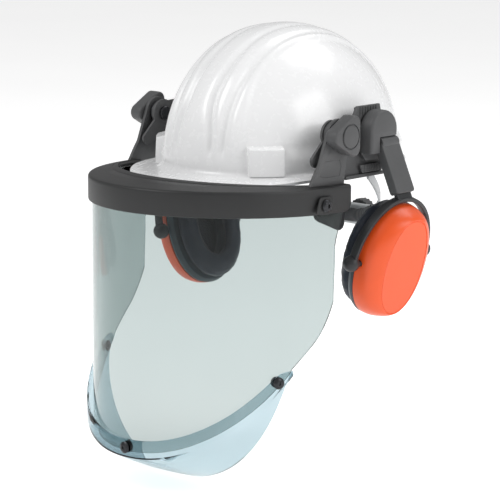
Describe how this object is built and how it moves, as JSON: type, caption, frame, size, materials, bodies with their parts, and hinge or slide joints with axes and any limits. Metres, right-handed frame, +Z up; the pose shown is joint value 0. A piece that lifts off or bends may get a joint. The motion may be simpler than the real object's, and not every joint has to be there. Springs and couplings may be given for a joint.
{
  "type": "safety helmet with face shield and ear muffs",
  "caption": "White ribbed safety helmet with a tilting clear face shield and chin guard, swivelling orange ear muffs and an adjustable head harness.",
  "frame": {"origin": "centre of the headband in the plane of the brim, where the wearer's head holds the helmet", "axes": "+Z up, the helmet faces -Y, the wearer's left is +X; mirror plane X = 0"},
  "size_m": [0.329, 0.3705, 0.4375],
  "materials": {
    "shell_white": "moulded gloss",
    "black_plastic": "fine grain",
    "clear_sheet": "clear polycarbonate",
    "clear_blue": "clear blue polycarbonate",
    "cup_orange": "satin gloss",
    "ring_grey": "satin",
    "cushion_black": "soft vinyl skin over foam",
    "foam_black": "open foam",
    "harness_grey": "satin",
    "strap_webbing": "woven webbing",
    "pad_fabric": "knit over foam",
    "screw_black": "black oxide"
  },
  "bodies": {
    "helmet": {"shell": "shell_white", "headband": "harness_grey", "brow_pad": "pad_fabric", "crown_pad": "pad_fabric", "cradle_strap_1": "strap_webbing", "cradle_strap_2": "strap_webbing", "cradle_strap_3": "strap_webbing", "anchor_clip_1": "black_plastic", "anchor_clip_2": "black_plastic", "anchor_clip_3": "black_plastic", "anchor_clip_4": "black_plastic", "anchor_clip_5": "black_plastic", "anchor_clip_6": "black_plastic", "accessory_adapter_left": "black_plastic", "pivot_stud_left": "screw_black", "friction_washer_left": "screw_black", "accessory_adapter_right": "black_plastic", "pivot_stud_right": "screw_black", "friction_washer_right": "screw_black"},
    "nape": {"nape_strap": "harness_grey", "nape_pad": "pad_fabric", "ratchet_housing": "harness_grey"},
    "ratchet": {"ratchet_knob": "black_plastic"},
    "visor": {"brow_band": "black_plastic", "visor_sheet": "clear_sheet", "chin_guard": "clear_blue", "chin_screw_centre": "screw_black", "chin_screw_left": "screw_black", "chin_screw_right": "screw_black", "visor_arm_left": "black_plastic", "visor_arm_right": "black_plastic", "visor_clip_left": "black_plastic", "visor_clip_right": "black_plastic", "clip_cover_left": "black_plastic", "clip_cover_right": "black_plastic", "clip_screw_left": "screw_black", "clip_screw_right": "screw_black"},
    "knob_left": {"visor_knob_left": "black_plastic"},
    "latch_left": {"release_latch_left": "black_plastic"},
    "mount_left": {"muff_housing_left": "black_plastic", "hinge_pin_left": "screw_black"},
    "blade_left": {"muff_blade_left": "black_plastic"},
    "yoke_left": {"yoke_left": "black_plastic"},
    "cup_left": {"cup_shell_left": "cup_orange", "cup_ring_left": "ring_grey", "ear_cushion_left": "cushion_black", "cup_foam_left": "foam_black"},
    "knob_right": {"visor_knob_right": "black_plastic"},
    "latch_right": {"release_latch_right": "black_plastic"},
    "mount_right": {"muff_housing_right": "black_plastic", "hinge_pin_right": "screw_black"},
    "blade_right": {"muff_blade_right": "black_plastic"},
    "yoke_right": {"yoke_right": "black_plastic"},
    "cup_right": {"cup_shell_right": "cup_orange", "cup_ring_right": "ring_grey", "ear_cushion_right": "cushion_black", "cup_foam_right": "foam_black"}
  },
  "joints": [
    {"name": "visor_tilt", "type": "hinge", "parent": "helmet", "child": "visor", "pos_m": [0, -0.058, 0.0425], "axis": [-1, 0, 0], "range_deg": [0, 95]},
    {"name": "nape_slide", "type": "slide", "parent": "helmet", "child": "nape", "axis": [0, 1, 0], "range_m": [-0.006, 0.008]},
    {"name": "ratchet_turn", "type": "hinge", "parent": "nape", "child": "ratchet", "pos_m": [0, 0.1202, -0.07], "axis": [0, 1, 0], "range_deg": [-80, 105]},
    {"name": "visor_knob_left_turn", "type": "hinge", "parent": "helmet", "child": "knob_left", "pos_m": [0.1242, -0.058, 0.0425], "axis": [1, 0, 0], "range_deg": [0, 180]},
    {"name": "latch_left_press", "type": "slide", "parent": "helmet", "child": "latch_left", "axis": [-1, 0, 0], "range_m": [0, 0.0014], "stiffness_N_per_m": 600, "springref_m": -0.0002},
    {"name": "muff_left_swivel", "type": "hinge", "parent": "helmet", "child": "mount_left", "pos_m": [0.115, 0.0015, 0.042], "axis": [1, 0, 0], "range_deg": [0, 100]},
    {"name": "muff_left_swing", "type": "hinge", "parent": "mount_left", "child": "blade_left", "pos_m": [0.128, 0.0085, 0.029], "axis": [0, -1, 0], "range_deg": [0, 30], "stiffness_Nm_per_rad": 0.8, "springref_deg": -20.05},
    {"name": "muff_left_slide", "type": "slide", "parent": "blade_left", "child": "yoke_left", "axis": [0.3743, 0.0493, -0.926], "range_m": [0, 0.018]},
    {"name": "cup_left_tilt", "type": "hinge", "parent": "yoke_left", "child": "cup_left", "pos_m": [0.13236, 0.0105, -0.08496], "axis": [0, 1, 0], "range_deg": [-10, 10]},
    {"name": "visor_knob_right_turn", "type": "hinge", "parent": "helmet", "child": "knob_right", "pos_m": [-0.1242, -0.058, 0.0425], "axis": [-1, 0, 0], "range_deg": [0, 180]},
    {"name": "latch_right_press", "type": "slide", "parent": "helmet", "child": "latch_right", "axis": [1, 0, 0], "range_m": [0, 0.0014], "stiffness_N_per_m": 600, "springref_m": -0.0002},
    {"name": "muff_right_swivel", "type": "hinge", "parent": "helmet", "child": "mount_right", "pos_m": [-0.115, 0.0015, 0.042], "axis": [1, 0, 0], "range_deg": [0, 100]},
    {"name": "muff_right_swing", "type": "hinge", "parent": "mount_right", "child": "blade_right", "pos_m": [-0.128, 0.0085, 0.029], "axis": [0, 1, 0], "range_deg": [0, 30], "stiffness_Nm_per_rad": 0.8, "springref_deg": -20.05},
    {"name": "muff_right_slide", "type": "slide", "parent": "blade_right", "child": "yoke_right", "axis": [-0.3743, 0.0493, -0.926], "range_m": [0, 0.018]},
    {"name": "cup_right_tilt", "type": "hinge", "parent": "yoke_right", "child": "cup_right", "pos_m": [-0.13236, 0.0105, -0.08496], "axis": [0, 1, 0], "range_deg": [-10, 10]}
  ],
  "couplings": [
    {"joint": "ratchet_turn", "follows": "nape_slide", "rad_per_m": 222}
  ]
}
